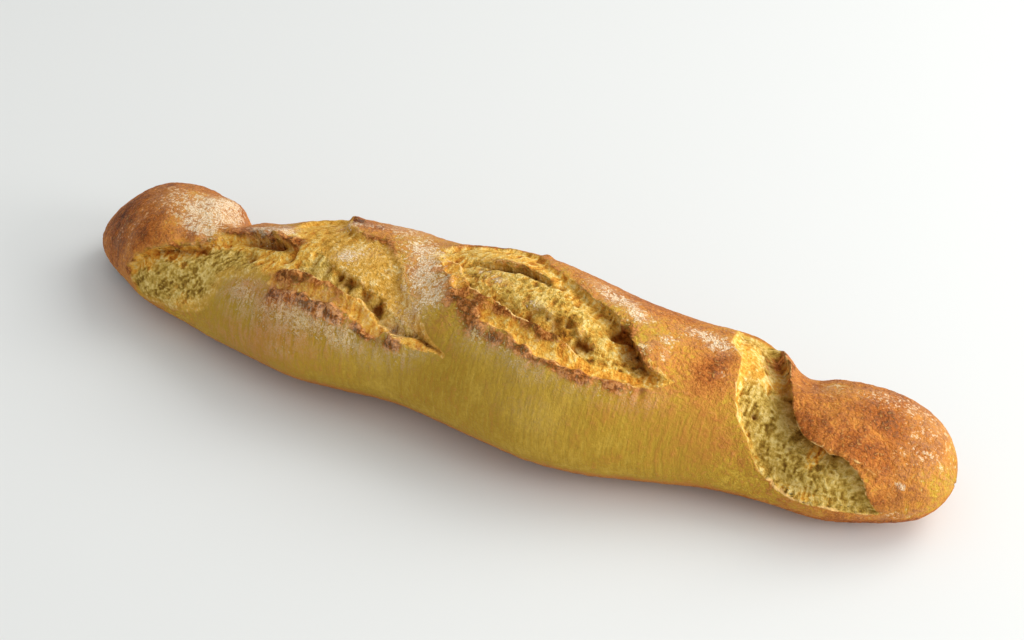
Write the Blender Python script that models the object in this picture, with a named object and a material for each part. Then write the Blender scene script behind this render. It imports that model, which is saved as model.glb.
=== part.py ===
"""A rustic baguette: a loaf with a round knob at each end, and four slashes that tore open in the oven.

The loaf is one solid. It lies along X with +Z up, its middle at the origin and its flat underside on Z = 0.
Sizes are millimetres here, and the mesh is made in metres.

A place on the crust is (x, angle): x along the loaf from its middle, and the angle in degrees round it from
the top line, positive towards the front (-Y). Torn edges are smooth lines through a few such places.
"""

import bmesh
import bpy
import numpy as np

METRES = 0.001

# The loaf without its slashes.
LENGTH = 360.0
LEFT_TIP, RIGHT_TIP = 25.5, 32.5  # how far in from each end the rounding reaches
CROWN = 0.80  # height of the upper half, as a share of the half width
BELLY = 0.80  # depth of the lower half, as a share of the height of the upper one
SAG = 1.6  # how far the loaf has settled flat on the surface under it
# The sideways bow of the middle line and the half width, at even steps from the left tip to the right one.
OUTLINE = (
    (0.5, 18.0), (1.5, 24.5), (-5.0, 29.5), (-10.0, 29.0), (-15.0, 29.5), (-16.0, 33.5), (-16.5, 37.5),
    (-14.5, 38.5), (-13.0, 37.5), (-13.0, 40.0), (-15.5, 41.5), (-18.0, 41.0), (-17.0, 38.5), (-13.0, 35.5),
    (-8.0, 33.0), (-8.0, 28.0), (-7.0, 29.0), (-3.0, 27.5), (-5.5, 29.5),
)

# Lines on the crust, each from left to right.
LINES = {
    "left_knob": ((-143, 88), (-146, 76), (-142, 64), (-136, 52), (-128, 41), (-117, 29), (-111, 18), (-108, 6)),
    "crag": ((-110, 7), (-104, 2), (-98, -1), (-91, 3), (-84, 8), (-77, 11), (-70, 12)),
    "left_foot": ((-136, 100), (-123, 94), (-105, 72), (-99, 53), (-97, 38), (-86, 35), (-73, 32)),
    "left_crest": ((-73, 29), (-59, 29), (-47, 33), (-37, 38), (-28, 43), (-21, 51), (-12, 53), (4, 57)),
    "left_scorch": ((-74, 39), (-66, 43), (-55, 45), (-43, 47), (-35, 53), (-26, 57), (-18, 55), (-8, 59)),
    "left_ledge": ((-56, 14), (-47, 21), (-37, 27), (-27, 34), (-22, 40)),
    "left_rim": ((-98, -20), (-89, -40), (-75, -46), (-63, -38), (-59, -20), (-47, -9), (-37, -6), (-29, 7),
                 (-23, 20), (-14, 34), (-4, 50), (4, 57)),
    "right_scorch": ((-19, -8), (-11, 4), (-3, 17), (3, 23), (10, 25), (14, 31), (24, 34), (39, 38), (56, 38),
                     (71, 39), (79, 35), (84, 29)),
    "right_crest": ((-20, -9), (-11, -3), (1, 11), (12, 19), (26, 22), (41, 25), (56, 31)),
    "right_fold": ((24, 12), (36, 11), (44, 12), (51, 19), (57, 25)),
    "right_cave": ((-5, -9), (8, -11), (20, -13), (31, -7)),
    "right_rim": ((-22, -10), (-16, -27), (0, -39), (14, -36), (24, -24), (33, -17), (44, -11), (56, -2),
                  (63, 7), (68, 17), (76, 26), (84, 29)),
    "right_edge": ((92, -46), (95, -16), (101, 3), (104, 24), (108, 40), (120, 74), (131, 87), (147, 93),
                   (161, 98)),
    "right_knob": ((106, -56), (114, -25), (119, 0), (124, 20), (130, 36), (139, 44), (148, 51), (155, 72),
                   (159, 89)),
    "right_fold_back": ((136, 40), (142, 44), (148, 47), (153, 51), (158, 57)),
    "left_shoulder": ((-122, 0), (-122, -20), (-121, -42), (-121, -80)),
    "left_neck": ((-111, 4), (-112, -32), (-112, -62), (-113, -112)),
    "right_neck": ((128, 10), (124, -20), (121, -45), (115, -80)),
}

FRONT, BACK = 1, -1  # the side of a line that lies open

# A lip is a crust edge along a line. A size that changes along it is written as a chain of sizes.
# side: which side of the line lies open.
# height, crust: how high the edge stands, and how far the crust takes to rise to it.
# face: the width of the torn face under the edge.
# gap, reach: how deep the gap in front of the face is, and how far it goes.
# hollow: how far the face goes back under the edge.
LIPS = {
    "left_knob": dict(side=FRONT, height=(0.0, 1.4, 1.6, 1.4), crust=9.0, face=1.3, gap=(0.5, 2.0, 1.6),
                      reach=4.0, hollow=(0.5, 1.5, 1.0)),
    "crag": dict(side=FRONT, height=(1.5, 4.0, 3.4), crust=5.0, face=1.6, gap=(2.0, 5.0, 3.0), reach=3.0,
                 hollow=(1.5, 4.5, 3.0)),
    "left_crest": dict(side=BACK, height=(2.6, 2.8, 2.0, 1.0), crust=5.5, face=1.6, gap=(2.0, 3.0, 3.5, 1.5),
                       reach=4.0, hollow=0.8),
    "left_scorch": dict(side=BACK, height=(0.6, 1.2, 1.6, 1.0, 1.4), crust=8.0, face=1.6, gap=0.2, reach=3.0,
                        hollow=0.4),
    "left_ledge": dict(side=FRONT, height=0.4, crust=4.0, face=1.3, gap=(0.5, 2.2, 1.8), reach=4.0, hollow=1.2),
    "left_rim": dict(side=FRONT, height=(0.6, 1.2, 1.6, 1.0, 0.8), crust=10.0, face=1.3,
                     gap=(0.2, 0.6, 1.0, 0.6), reach=5.0, hollow=0.8),
    "right_scorch": dict(side=BACK, height=(0.8, 1.8, 1.2, 1.4, 0.6), crust=8.0, face=1.6, gap=0.2, reach=3.0,
                         hollow=0.4),
    "right_crest": dict(side=BACK, height=(0.4, 1.0, 2.4, 1.8), crust=4.5, face=1.5, gap=(0.4, 1.0, 3.2, 3.4),
                        reach=4.0, hollow=0.8),
    "right_fold": dict(side=FRONT, height=0.6, crust=4.0, face=1.4, gap=(0.6, 2.4, 2.6), reach=3.0,
                       hollow=(0.5, 2.0, 1.5)),
    "right_cave": dict(side=FRONT, height=(0.4, 1.2, 1.0), crust=5.0, face=1.6, gap=(1.5, 4.0, 2.0), reach=2.6,
                       hollow=(1.0, 3.5, 2.0)),
    "right_rim": dict(side=FRONT, height=(0.3, 0.3, 0.6, 2.0, 3.2, 1.8), crust=12.0, face=1.5,
                      gap=(0.3, 0.3, 0.5, 1.5, 6.0, 1.5), reach=(3.0, 3.0, 5.0, 4.0),
                      hollow=(0.3, 0.4, 0.6, 2.0, 4.5, 1.5)),
    "right_edge": dict(side=BACK, height=(0.4, 0.8, 0.3), crust=4.0, face=1.4, gap=0.6, reach=5.0, hollow=0.2),
    "right_knob": dict(side=FRONT, height=(2.2, 3.0, 2.2, 1.2), crust=9.0, face=1.6, gap=(2.0, 3.4, 3.0, 1.0),
                       reach=7.0, hollow=(2.0, 3.6, 3.0, 1.5)),
    "right_fold_back": dict(side=FRONT, height=0.7, crust=5.0, face=1.4, gap=0.0, reach=1.0, hollow=0.2),
}

# The torn ground between two chains of lines: how deep it lies, and how far from each chain it gets there.
OPENINGS = (
    (("left_foot",), ("left_knob", "crag"), 1.2, 10.0, 2.0),
    (("left_crest",), ("left_rim",), 0.8, 3.0, 3.0),
    (("right_scorch",), ("right_rim",), 0.8, 6.0, 2.0),
    (("right_edge",), ("right_knob",), 2.0, 3.0, 3.0),
)

# A broad hollow along a line, or a swelling where the depth is less than 0: its depth and half width.
HOLLOWS = {"left_shoulder": (-1.6, 7.0), "left_neck": (6.5, 6.0), "right_neck": (2.5, 7.0)}

# Round pits in the torn ground, and nubs where the depth is less than 0: place, radius and depth.
PITS = (
    (-90, 20, 4.0, 2.5), (-72, 17, 4.0, 2.2), (-44, 28, 3.0, 2.0), (-28, 39, 2.2, 2.5), (33, -11, 2.6, 2.4),
    (29, 19, 2.6, 2.0), (53, 22, 2.6, 2.5), (60, 6, 4.0, 2.5), (113, 33, 2.2, 1.5), (-62, -37, 4.5, -1.6),
    (17, -43, 3.5, -1.2),
)

SAMPLES = 8  # points between two places of a line
LIP_FADE = 0.1  # a lip dies out over this share of its length, at each end
BROAD_FADE = 0.33  # the same for a broad hollow
TIP_SHARE = 0.1  # the share of the mesh's rings that goes over each rounded end
AROUND, ALONG = 150, 250  # the fine mesh before it is thinned
SHARE_KEPT = 0.155
LEVEL_WITHIN = 0.05  # what lies this close to the underside is made level with it

CRUST_COLOUR = (0.47, 0.25, 0.07, 1.0)
CRUST_ROUGHNESS = 0.65


def ease(t):
    """A smooth step from 0 to 1 as t goes from 0 to 1."""
    t = np.clip(t, 0.0, 1.0)
    return t * t * (3.0 - 2.0 * t)


def smooth_through(values, t):
    """Read, at t from 0 to 1, a smooth curve through evenly spaced values."""
    v = np.asarray(values, float)
    v = np.concatenate([[2 * v[0] - v[1]], v, [2 * v[-1] - v[-2]]])
    t = np.clip(t, 0.0, 1.0) * (len(values) - 1)
    i = np.minimum(t.astype(int), len(values) - 2)
    u = (t - i)[(...,) + (None,) * (v.ndim - 1)]
    a, b, c, d = v[i], v[i + 1], v[i + 2], v[i + 3]
    return b + 0.5 * u * (c - a + u * (2 * a - 5 * b + 4 * c - d + u * (3 * (b - c) + d - a)))


def loaf_sizes(x):
    """The bow and half width of the loaf at x, and the share of its full section there."""
    bow, half_width = smooth_through(OUTLINE, x / LENGTH + 0.5).T
    tip = np.where(x < 0, LEFT_TIP, RIGHT_TIP)
    inward = np.clip((LENGTH / 2 - np.abs(x)) / tip, 0.0, 1.0)
    return bow, half_width, np.sqrt(1.0 - (1.0 - inward) ** 2)


def bare_loaf(x, angle):
    """The surface of the loaf without its slashes, angle in radians."""
    bow, half_width, share = loaf_sizes(x)
    rise = np.cos(angle)
    rise = np.where(rise < 0, rise * BELLY, rise)
    crown = CROWN * half_width
    z = crown * (BELLY + share * rise) - SAG
    return np.stack([x, bow - half_width * share * np.sin(angle), np.maximum(z, 0.0)], -1)


def outward(x, angle):
    """The direction that faces out of the bare loaf."""
    small = 1e-3
    along = bare_loaf(x + small, angle) - bare_loaf(x - small, angle)
    round_it = bare_loaf(x, angle + small) - bare_loaf(x, angle - small)
    normal = np.cross(round_it, along)
    return normal / (np.linalg.norm(normal, axis=-1, keepdims=True) + 1e-12)


def mean_radius(x):
    """Turns an angle at x into millimetres of crust."""
    return loaf_sizes(x)[1] * (1 + CROWN) / 2


def flat_line(name):
    """A line's points as (x, millimetres round the loaf from the top line)."""
    places = np.array(LINES[name], float)
    t = np.linspace(0.0, 1.0, (len(places) - 1) * SAMPLES + 1)
    x, angle = smooth_through(places, t).T
    return np.stack([x, np.radians(angle) * mean_radius(x)], -1)


def measure(line, at):
    """Signed distance of each point from a line (positive in front), how far along it, and the way to it."""
    best = np.full(len(at), 1e9)
    signed, share, away = np.zeros(len(at)), np.zeros(len(at)), np.zeros((len(at), 2))
    for k in range(len(line) - 1):
        start, step = line[k], line[k + 1] - line[k]
        to = at - start
        t = np.clip(to @ step / (step @ step), 0.0, 1.0)
        gap = to - t[:, None] * step
        distance = np.hypot(gap[:, 0], gap[:, 1])
        nearer = distance < best
        side = np.where(step[0] * to[:, 1] - step[1] * to[:, 0] < 0, -1.0, 1.0)
        best[nearer] = distance[nearer]
        signed[nearer] = (side * distance)[nearer]
        share[nearer] = ((k + t) / (len(line) - 1))[nearer]
        away[nearer] = (side[:, None] * gap / (distance[:, None] + 1e-9))[nearer]
    return signed, share, away


def fade_at_ends(share, length):
    return ease(share / length) * ease((1.0 - share) / length)


def size_along(size, share):
    """A size of a lip at each share of its length."""
    return smooth_through(size, share) if isinstance(size, tuple) else size


def lip_relief(name, at):
    """Height that a lip adds at each point, and how far the surface slides along the crust there."""
    lip = LIPS[name]
    signed, share, away = measure(flat_line(name), at)
    height, crust, gap, reach, hollow = (
        size_along(lip[size], share) for size in ("height", "crust", "gap", "reach", "hollow"))
    side, face = lip["side"], lip["face"]
    fade = fade_at_ends(share, LIP_FADE)
    into = signed * side
    behind = np.minimum(into, 0.0)
    ahead = np.maximum(into, 0.0)
    torn = ease(ahead / face)
    raised = height * np.exp(-(behind / crust) ** 2) * (1.0 - torn)
    sunk = gap * torn * np.exp(-(np.maximum(ahead - face, 0.0) / reach) ** 2)
    under = hollow * np.sin(np.pi * np.clip(ahead / (2 * face), 0.0, 1.0))
    return fade * (raised - sunk), -(fade * under * side)[:, None] * away


def inside(outline, at):
    """Which points lie inside a closed outline."""
    crossings = np.zeros(len(at), int)
    for (x0, y0), (x1, y1) in zip(outline, np.roll(outline, -1, axis=0)):
        spans = (y0 > at[:, 1]) != (y1 > at[:, 1])
        height = y1 - y0 if y1 != y0 else 1e-9
        crossings += spans & (at[:, 0] < x0 + (at[:, 1] - y0) / height * (x1 - x0))
    return crossings % 2 == 1


def opening_relief(opening, at):
    """The sunken ground of one opening."""
    front, back, depth, front_slope, back_slope = opening
    front_line = np.concatenate([flat_line(name) for name in front])
    back_line = np.concatenate([flat_line(name) for name in back])
    ground = inside(np.concatenate([front_line, back_line[::-1]]), at)
    from_front = np.abs(measure(front_line, at)[0])
    from_back = np.abs(measure(back_line, at)[0])
    return -depth * ground * ease(from_front / front_slope) * ease(from_back / back_slope)


def pit_relief(pit, at):
    x, angle, radius, depth = pit
    centre = np.array([x, np.radians(angle) * mean_radius(np.array(float(x)))])
    distance = np.linalg.norm(at - centre, axis=1)
    return -depth * (1.0 - ease(distance / radius))


def relief(at):
    height, slide = np.zeros(len(at)), np.zeros((len(at), 2))
    for name in LIPS:
        lip_height, lip_slide = lip_relief(name, at)
        height += lip_height
        slide += lip_slide
    for opening in OPENINGS:
        height += opening_relief(opening, at)
    for name, (depth, half_width) in HOLLOWS.items():
        signed, share, _ = measure(flat_line(name), at)
        height -= depth * fade_at_ends(share, BROAD_FADE) * np.exp(-(signed / half_width) ** 2)
    for pit in PITS:
        height += pit_relief(pit, at)
    return height, slide


def settle_on_lines(at, spacing):
    """Move the points nearest to each lip into rows along its edge and its face, so that both are clean."""
    for name in LIPS:
        side, face = LIPS[name]["side"], LIPS[name]["face"]
        signed, share, away = measure(flat_line(name), at)
        into = signed * side
        rows = max(1, round(face / spacing))
        row = np.clip(np.round(into / face * rows), 0, rows) * face / rows
        close = (np.abs(row - into) < 0.5 * spacing) & (share > 0.0) & (share < 1.0)
        at = at + np.where(close, (row - into) * side, 0.0)[:, None] * away
    return at


def spread_along(t):
    """x for an even spread, from 0 to 1, of rings along the loaf and over its rounded ends."""
    tip = np.where(t < 0.5, LEFT_TIP, RIGHT_TIP)
    turn = np.pi / 2 * np.clip(np.minimum(t, 1 - t) / TIP_SHARE, 0.0, 1.0)
    straight = np.interp(t, (TIP_SHARE, 1 - TIP_SHARE), (LEFT_TIP - LENGTH / 2, LENGTH / 2 - RIGHT_TIP))
    return straight + np.sign(t - 0.5) * tip * np.cos(turn)


def shape_loaf(directions):
    """Places of the loaf's surface for points of a ball whose axis is X."""
    t = 1.0 - np.arccos(np.clip(directions[:, 0], -1.0, 1.0)) / np.pi
    x = spread_along(t)
    angle = np.arctan2(-directions[:, 1], directions[:, 2])
    radius = mean_radius(x)
    at = settle_on_lines(np.stack([x, angle * radius], -1), LENGTH / ALONG)
    height, slide = relief(at)
    direction = outward(at[:, 0], at[:, 1] / mean_radius(at[:, 0]))
    at = at + slide
    places = bare_loaf(at[:, 0], at[:, 1] / mean_radius(at[:, 0])) + height[:, None] * direction
    places[:, 2] = np.maximum(places[:, 2], 0.0)
    return places


def bread_material():
    material = bpy.data.materials.new("crust")
    material.use_nodes = True
    shader = material.node_tree.nodes["Principled BSDF"]
    shader.inputs["Base Color"].default_value = CRUST_COLOUR
    shader.inputs["Roughness"].default_value = CRUST_ROUGHNESS
    shader.inputs["Metallic"].default_value = 0.0
    material.diffuse_color = CRUST_COLOUR
    return material


def make_loaf(collection):
    mesh = bpy.data.meshes.new("loaf")
    loaf = bpy.data.objects.new("loaf", mesh)
    collection.objects.link(loaf)
    ball = bmesh.new()
    bmesh.ops.create_uvsphere(ball, u_segments=AROUND, v_segments=ALONG, radius=1.0)
    directions = np.array([(-v.co.z, v.co.y, v.co.x) for v in ball.verts])
    places = shape_loaf(directions)
    places[:, 1] -= (places[:, 1].min() + places[:, 1].max()) / 2
    for vertex, place in zip(ball.verts, places * METRES):
        vertex.co = place
    bmesh.ops.triangulate(ball, faces=ball.faces, quad_method="SHORT_EDGE")
    ball.to_mesh(mesh)
    ball.free()
    return loaf


def thin_out(loaf):
    """Keep few triangles where the loaf is smooth, and level the ones that it rests on."""
    thinner = loaf.modifiers.new("thin_out", "DECIMATE")
    thinner.ratio = SHARE_KEPT
    bpy.context.view_layer.objects.active = loaf
    bpy.ops.object.modifier_apply(modifier=thinner.name)
    for vertex in loaf.data.vertices:
        if vertex.co.z < LEVEL_WITHIN * METRES:
            vertex.co.z = 0.0


def main():
    for leftover in list(bpy.data.objects):
        bpy.data.objects.remove(leftover)
    collection = bpy.data.collections.new("baguette")
    bpy.context.scene.collection.children.link(collection)
    loaf = make_loaf(collection)
    thin_out(loaf)
    loaf.data.materials.append(bread_material())


main()
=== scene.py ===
"""Dresses the baguette: a finely modelled loaf with crust, crumb and flour, a pale floor and soft light.

The loaf has the outline of the solid it stands for, and nearly the same lines and lips, on a finer mesh.
Sizes are millimetres until the mesh is made. A place on the crust is (x, angle): x along the loaf, and the
angle in degrees round it from the top line, positive towards the front (-Y). In "at" arrays the angle is
turned into millimetres round the loaf.
"""

import math
from types import SimpleNamespace

import bmesh
import bpy
import numpy as np
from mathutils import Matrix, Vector


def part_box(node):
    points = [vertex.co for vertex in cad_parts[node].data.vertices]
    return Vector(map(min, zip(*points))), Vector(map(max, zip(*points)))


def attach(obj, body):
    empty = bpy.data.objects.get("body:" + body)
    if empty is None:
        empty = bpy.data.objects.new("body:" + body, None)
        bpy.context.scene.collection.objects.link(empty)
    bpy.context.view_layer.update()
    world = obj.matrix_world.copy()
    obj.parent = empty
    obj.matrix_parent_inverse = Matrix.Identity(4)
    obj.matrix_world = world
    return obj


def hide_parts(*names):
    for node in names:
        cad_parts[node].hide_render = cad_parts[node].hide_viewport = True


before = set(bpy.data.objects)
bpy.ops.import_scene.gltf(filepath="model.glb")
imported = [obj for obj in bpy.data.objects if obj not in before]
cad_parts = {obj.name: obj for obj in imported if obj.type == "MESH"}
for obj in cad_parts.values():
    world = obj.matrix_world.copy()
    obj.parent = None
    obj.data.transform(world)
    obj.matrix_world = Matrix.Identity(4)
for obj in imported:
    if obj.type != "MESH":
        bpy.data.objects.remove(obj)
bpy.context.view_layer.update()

METRES = 0.001

# The loaf without its slashes. OUTLINE holds the bow and half width at even steps along it.
LENGTH = 360.0
LEFT_TIP, RIGHT_TIP = 25.5, 32.5
CROWN, BELLY, SAG = 0.8, 0.8, 1.6
OUTLINE = (
    (0.5, 18), (1.5, 24.5), (-5, 29.5), (-10, 29), (-15, 29.5), (-16, 33.5), (-16.5, 37.5), (-14.5, 38.5),
    (-13, 37.5), (-13, 40), (-15.5, 41.5), (-18, 41), (-17, 38.5), (-13, 35.5), (-8, 33), (-8, 28), (-7, 29),
    (-3, 27.5), (-5.5, 29.5),
)

# Lines on the crust, each from left to right.
LINES = {
    "left_knob": ((-143, 88), (-146, 76), (-142, 64), (-136, 52), (-128, 41), (-117, 29), (-111, 18),
        (-108, 6)),
    "crag": ((-110, 7), (-104, 2), (-98, -1), (-91, 0), (-84, 2), (-78, 4), (-71, 6)),
    "left_foot": ((-136, 100), (-123, 94), (-105, 72), (-99, 53), (-97, 38), (-86, 35), (-73, 32)),
    "left_crest": ((-73, 29), (-59, 29), (-47, 33), (-37, 38), (-28, 43), (-21, 51), (-12, 53), (4, 57)),
    "left_scorch": ((-74, 39), (-66, 43), (-55, 45), (-43, 47), (-35, 53), (-26, 57), (-18, 55), (-8, 59)),
    "left_ledge": ((-56, 14), (-47, 21), (-37, 27), (-27, 34), (-22, 40)),
    "left_rim": ((-82, -14), (-80, -36), (-73, -46), (-63, -38), (-59, -20), (-47, -9), (-37, -6), (-29, 7),
        (-23, 20), (-14, 34), (-4, 50), (4, 57)),
    "right_scorch": ((-19, -8), (-11, 4), (-3, 17), (3, 23), (10, 25), (14, 31), (24, 34), (39, 38),
        (56, 38), (71, 39), (79, 35), (84, 29)),
    "right_crest": ((-20, -9), (-11, -3), (1, 11), (12, 19), (26, 22), (41, 25), (56, 31)),
    "right_fold": ((24, 12), (36, 11), (44, 12), (51, 19), (57, 25)),
    "right_cave": ((-5, -9), (8, -11), (20, -13), (31, -7)),
    "right_rim": ((-22, -10), (-16, -27), (0, -39), (14, -36), (24, -24), (33, -17), (44, -11), (56, -2),
        (63, 7), (68, 17), (76, 26), (84, 29)),
    "right_edge": ((92, -46), (95, -16), (101, 3), (104, 24), (108, 40), (120, 74), (131, 87), (147, 93),
        (161, 98)),
    "right_knob": ((106, -56), (114, -25), (119, 0), (124, 20), (130, 36), (139, 44), (148, 51), (155, 72),
        (159, 89)),
    "right_fold_back": ((136, 40), (142, 44), (148, 47), (153, 51), (158, 57)),
    "left_shoulder": ((-122, 0), (-122, -20), (-121, -42), (-121, -80)),
    "left_neck": ((-111, 4), (-112, -32), (-112, -62), (-113, -112)),
    "right_neck": ((128, 10), (124, -20), (121, -45), (115, -80)),
}

FRONT, BACK = 1, -1  # the side of a line that lies open

# A lip is a crust edge along a line. A size that changes along it is written as a chain of sizes.
# side: which side lies open.
# height, crust: how high the edge stands, and how far the crust takes to rise to it.
# face: the width of the torn face under the edge.
# gap, reach: how deep the gap in front of the face is, and how far it goes; the gap is also painted darker,
# as painted shade.
# hollow: how far the face goes back under the edge. pleats: how deep the crimps across it are.
# ragged: how far the edge strays from its line.
# toast, burnt: how dark the edge is baked, and how far back from it.
# gilt, bright: how golden the torn face is, and how strong the painted highlight along the edge itself is.
# What a lip doesn't give is as in LIP.
LIP = dict(side=FRONT, crust=4, face=1.6, gap=0.2, reach=3, hollow=0.8, ragged=1, pleats=0.4, burnt=2,
           gilt=0.5, bright=0.1)
LIPS = {
    "left_knob": dict(height=(0, 1.4, 1.6, 1.4), crust=9, face=1.5, gap=(0.8, 1.9, 1.9, 0.9),
        hollow=(0.7, 1.6, 1.2), ragged=0.6, pleats=0.1, toast=(1, 1, 1, 0.8), burnt=2.2, gilt=0.8),
    "crag": dict(height=(1.4, 1.6, 2.8, 3.4, 1.6), crust=5.5, face=1.3, gap=(0.3, 0.6, 2.2, 2.4, 0.8),
        reach=1.4, hollow=(0.4, 0.8, 2.2, 2.2, 0.6), pleats=0.2, toast=(0.6, 0.9, 1, 1, 1), burnt=2.6,
        gilt=0.2, bright=0),
    "left_crest": dict(side=BACK, height=(2.6, 2.8, 2, 1), crust=4.5, gap=(0.8, 1.4, 2.2, 1.2), reach=2,
        pleats=0.5, toast=(1, 0.8, 0.4, 0.2, 0.2, 0.2), burnt=2.8, gilt=0.4, bright=0.6),
    "left_scorch": dict(side=BACK, height=(0.6, 1.2, 1.6, 1, 1.4), crust=8, hollow=0.4, ragged=1.2, pleats=1,
        toast=(0.7, 0.7, 0.5, 0.5, 0.4), burnt=(4, 5, 4, 3, 3), bright=0.3),
    "left_ledge": dict(height=0.5, face=1.2, gap=(0.3, 0.8, 0.7), reach=2, hollow=0.5, toast=0.1,
        bright=0.8),
    "left_rim": dict(height=(0.6, 1.2, 0.8, 0.6, 0.8), crust=10, face=2.2, gap=(0.2, 0.4, 0.4, 0.4), reach=5,
        hollow=0.3, ragged=0.6, pleats=0.2,
        toast=(0.1, 0.1, 0.2, 0.6, 0.9, 0.9, 0.8, 0.4, 0.3, 0.4, 0.4, 0.3), burnt=1.8, gilt=0.4, bright=0.2),
    "right_scorch": dict(side=BACK, height=(0.8, 1.8, 1.2, 1.4, 0.6), crust=8, hollow=0.4, ragged=1.2,
        pleats=1, toast=(0.5, 0.7, 0.7, 0.6, 0.6, 0.4), burnt=(3, 4.5, 5, 3, 3), gilt=0.8, bright=0.4),
    "right_crest": dict(side=BACK, height=(0.4, 1, 2.4, 1.8), face=1.5, gap=(0.4, 0.8, 2, 2.4), reach=2.4,
        ragged=1.1, pleats=0.5, toast=(0.1, 0.7, 0.9, 0.7), burnt=3, bright=0.8),
    "right_fold": dict(height=0.8, face=1.4, gap=(0.4, 1.2, 1.4), reach=2, hollow=(0.4, 1, 1), pleats=0.6,
        toast=0.7, burnt=3, bright=0.2),
    "right_cave": dict(height=(0.4, 1.2, 1), crust=5, face=1.4, gap=(1.4, 3, 1.6), reach=1.2,
        hollow=(0.8, 2.4, 1.2), ragged=0.8, toast=0.5, bright=0.3),
    "right_rim": dict(height=(0.3, 0.3, 0.6, 2, 3.2, 1.8), crust=12, face=1.5,
        gap=(0.3, 0.3, 0.4, 1.2, 3.8, 1), reach=(3, 3, 3.4, 2.4), hollow=(0.3, 0.4, 0.6, 2, 3.6, 1.2),
        ragged=0.8, toast=(0.9, 1, 0.6, 0.4, 0.9, 0.5), burnt=2.5, gilt=0.3),
    "right_edge": dict(side=BACK, height=(0.4, 0.8, 0.3), face=1.4, gap=0.6, reach=5, hollow=0.2, ragged=0.6,
        pleats=0, toast=0, gilt=(0.9, 0.8, 0.3, 0.1), bright=0.9),
    "right_knob": dict(height=(2.2, 3, 2.2, 1.2), crust=9, gap=(2, 3, 2.6, 1), reach=5,
        hollow=(2, 3.6, 3, 1.5), ragged=0.4, pleats=0.1, toast=(0.5, 0.5, 0.3, 0.2), burnt=3,
        gilt=(0.8, 0.3, 0.1, 0.6), bright=0.6),
    "right_fold_back": dict(height=0.7, crust=5, face=1.4, gap=0, reach=1, hollow=0.2, ragged=0.2, pleats=0,
        toast=0.4, gilt=0.6, bright=0.5),
}
LIPS = {name: LIP | lip for name, lip in LIPS.items()}
LIP_FADE, BROAD_FADE, BAND_FADE = 0.1, 0.33, 0.15  # how much of a lip, a hollow and a band fades at each end
RAGS = ((7.0, 0.8), (3.4, 0.7), (1.8, 0.6))  # length and strength of a torn edge's bends
UNEVEN_HEIGHT, UNEVEN_BURNT = 0.35, 0.5  # how far noise varies a lip's height and burnt
LEAST_TOAST = 0.45  # how dark the palest stretch is, as a share of the darkest
PLEAT_REACH, SHADE_REACH, GILT_REACH, HIGHLIGHT_REACH = 3.5, 1.6, 1.8, 0.5  # how far these go from the edge: the pleats, the painted gap shade, the gilt and the painted highlight
OPEN_SHADE = 0.3  # how dark the painted shade in the far part of a gap is, as a share of the darkest

# Torn ground between two chains of lines: how deep it is, and how far from each chain it gets there.
OPENINGS = (
    (("left_foot",), ("left_knob", "crag"), 1.2, 10, 2), (("left_crest",), ("left_rim",), 0.8, 3, 3),
    (("right_scorch",), ("right_rim",), 0.8, 6, 2), (("right_edge",), ("right_knob",), 2, 3, 3),
)

# A broad hollow along a line, or a swelling where the depth is less than 0: its depth and half width.
HOLLOWS = {"left_shoulder": (-1.6, 7), "left_neck": (6.5, 6), "right_neck": (2.5, 7)}

# Narrow cracks, painted darker as shade: the places on the way, the depth and the half width.
CRACKS = (
    (((-12, 50), (-6, 53), (0, 55), (6, 57)), 1.8, 0.9),
    (((-138, 57), (-129, 47), (-119, 35), (-107, 21)), 0.7, 0.8),
    (((-30, 36), (-28, 39), (-26, 42)), 1.6, 1.2), (((-103, 4), (-93, 4), (-84, 6), (-77, 9)), 1.3, 1),
)

# Round pits, painted darker as shade, and nubs where the depth is less than 0: place, radius and depth.
PITS = (
    (-90, 20, 4, 2.5), (-72, 17, 4, 2.2), (-44, 28, 3, 2), (-28, 39, 2.2, 2.5), (33, -11, 2.6, 2.4),
    (29, 19, 2.6, 2), (53, 22, 2.6, 2.5), (60, 6, 4, 2.5), (113, 33, 2.2, 1.5), (-62, -37, 4.5, -0.9),
    (17, -43, 3.5, -1.2), (-63, 1, 1.5, 1.8), (-58, -3, 1.3, 1.5), (-69, -8, 1.3, 1.2), (-32, 14, 2, 1.2),
    (-31, 18, 2, -0.5), (-47, 25, 1.6, 1.4), (-43, 25, 1.3, 1.3), (-39, 29, 1.3, 1.2), (28, 16, 1.8, 2.2),
    (35, 14, 1.6, 2), (43, 13, 1.8, 2), (52, 20, 1.8, 2.2), (-17, -15, 1.2, 1.2), (-16, -18, 1.2, 1.2),
    (-10, -19, 1.3, 1.3), (-4, -9, 1.3, 1.2), (113, 31, 1.7, 2), (110, 34, 1.2, 1.4), (119, 33, 1.3, 1.5),
    (108, 33, 1, 1.2), (112, 46, 1.1, 1.3), (118, 60, 1.1, 1.3), (126, 47, 1.2, 1.4), (137, 77, 1.1, 1.2),
    (124, 79, 1.4, 1.6), (128, 84, 1.4, 1.6), (136, 46, 1.3, -1.4), (135, 50, 1.2, -1.5),
    (135, 55, 1.2, -1.3), (176, 70, 2, -0.8), (-61, -33, 2.6, -0.9), (-56, -31, 2, -0.8),
)
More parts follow.
